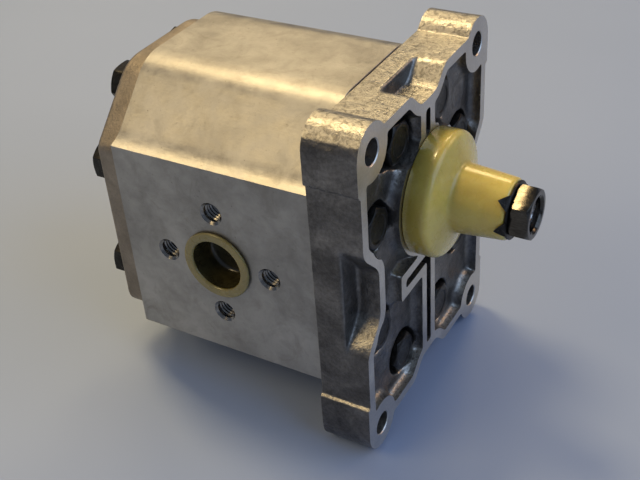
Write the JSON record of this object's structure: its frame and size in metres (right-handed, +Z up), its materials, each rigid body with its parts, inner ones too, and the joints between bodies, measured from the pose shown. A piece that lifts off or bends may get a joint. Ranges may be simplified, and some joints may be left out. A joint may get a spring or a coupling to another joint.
{
  "type": "hydraulic gear pump",
  "caption": "External gear pump with a four-lug flange, aluminium body, tapered shaft under a nylon cap and nut, and plugged side ports.",
  "frame": {"origin": "below the middle of the pump, on the plane its lower lugs stand on", "axes": "+X along the drive shaft towards the coupling end, +Z up through the four-hole pattern, -Y towards the inlet port"},
  "size_m": [0.1874, 0.1226, 0.161],
  "materials": {
    "extruded_aluminium": "extruded and milled, satin",
    "cast_cover": "as cast with machined faces",
    "gear_steel": "ground",
    "black_steel": "black oxide",
    "bearing_alloy": "machined",
    "bush_bronze": "plain bearing lining",
    "seal_rubber": "moulded",
    "backup_plastic": "moulded",
    "cap_nylon": "moulded, slightly translucent"
  },
  "bodies": {
    "housing": {"body": "extruded_aluminium", "front_backup_ring": "backup_plastic", "front_bearing_block": "bearing_alloy", "front_body_seal": "seal_rubber", "front_cover": "cast_cover", "front_dowel_1": "gear_steel", "front_dowel_2": "gear_steel", "front_drive_bush": "bush_bronze", "front_driven_bush": "bush_bronze", "front_pressure_seal": "seal_rubber", "rear_backup_ring": "backup_plastic", "rear_bearing_block": "bearing_alloy", "rear_body_seal": "seal_rubber", "rear_cover": "cast_cover", "rear_dowel_1": "gear_steel", "rear_dowel_2": "gear_steel", "rear_drive_bush": "bush_bronze", "rear_driven_bush": "bush_bronze", "rear_pressure_seal": "seal_rubber", "seal_retaining_ring": "black_steel", "shaft_seal": "seal_rubber", "front_bolt_1": "black_steel", "front_bolt_2": "black_steel", "front_bolt_3": "black_steel", "front_bolt_4": "black_steel", "front_bolt_5": "black_steel", "front_bolt_6": "black_steel", "front_bolt_7": "black_steel", "front_bolt_8": "black_steel", "rear_bolt_1": "black_steel", "rear_bolt_2": "black_steel", "rear_bolt_3": "black_steel", "rear_bolt_4": "black_steel", "rear_bolt_5": "black_steel", "rear_bolt_6": "black_steel", "rear_bolt_7": "black_steel", "rear_bolt_8": "black_steel"},
    "drive_shaft": {"drive_gear": "gear_steel", "woodruff_key": "gear_steel", "shaft_nut": "black_steel", "tab_washer": "black_steel", "shaft_protector_cap": "cap_nylon"},
    "driven_shaft": {"driven_gear": "gear_steel"},
    "inlet_plug": {"inlet_port_plug": "cap_nylon"},
    "outlet_plug": {"outlet_port_plug": "cap_nylon"}
  },
  "joints": [
    {"name": "drive_shaft_spin", "type": "hinge", "parent": "housing", "child": "drive_shaft", "pos_m": [-0.02425, 0, 0.1042], "axis": [1, 0, 0], "continuous": true},
    {"name": "driven_gear_spin", "type": "hinge", "parent": "housing", "child": "driven_shaft", "pos_m": [-0.02425, 0, 0.0602], "axis": [1, 0, 0], "continuous": true},
    {"name": "inlet_plug_pull", "type": "slide", "parent": "housing", "child": "inlet_plug", "axis": [0, -1, 0], "range_m": [0, 0.025]},
    {"name": "outlet_plug_pull", "type": "slide", "parent": "housing", "child": "outlet_plug", "axis": [0, 1, 0], "range_m": [0, 0.025]}
  ],
  "couplings": [
    {"joint": "driven_gear_spin", "follows": "drive_shaft_spin", "ratio": -1}
  ]
}
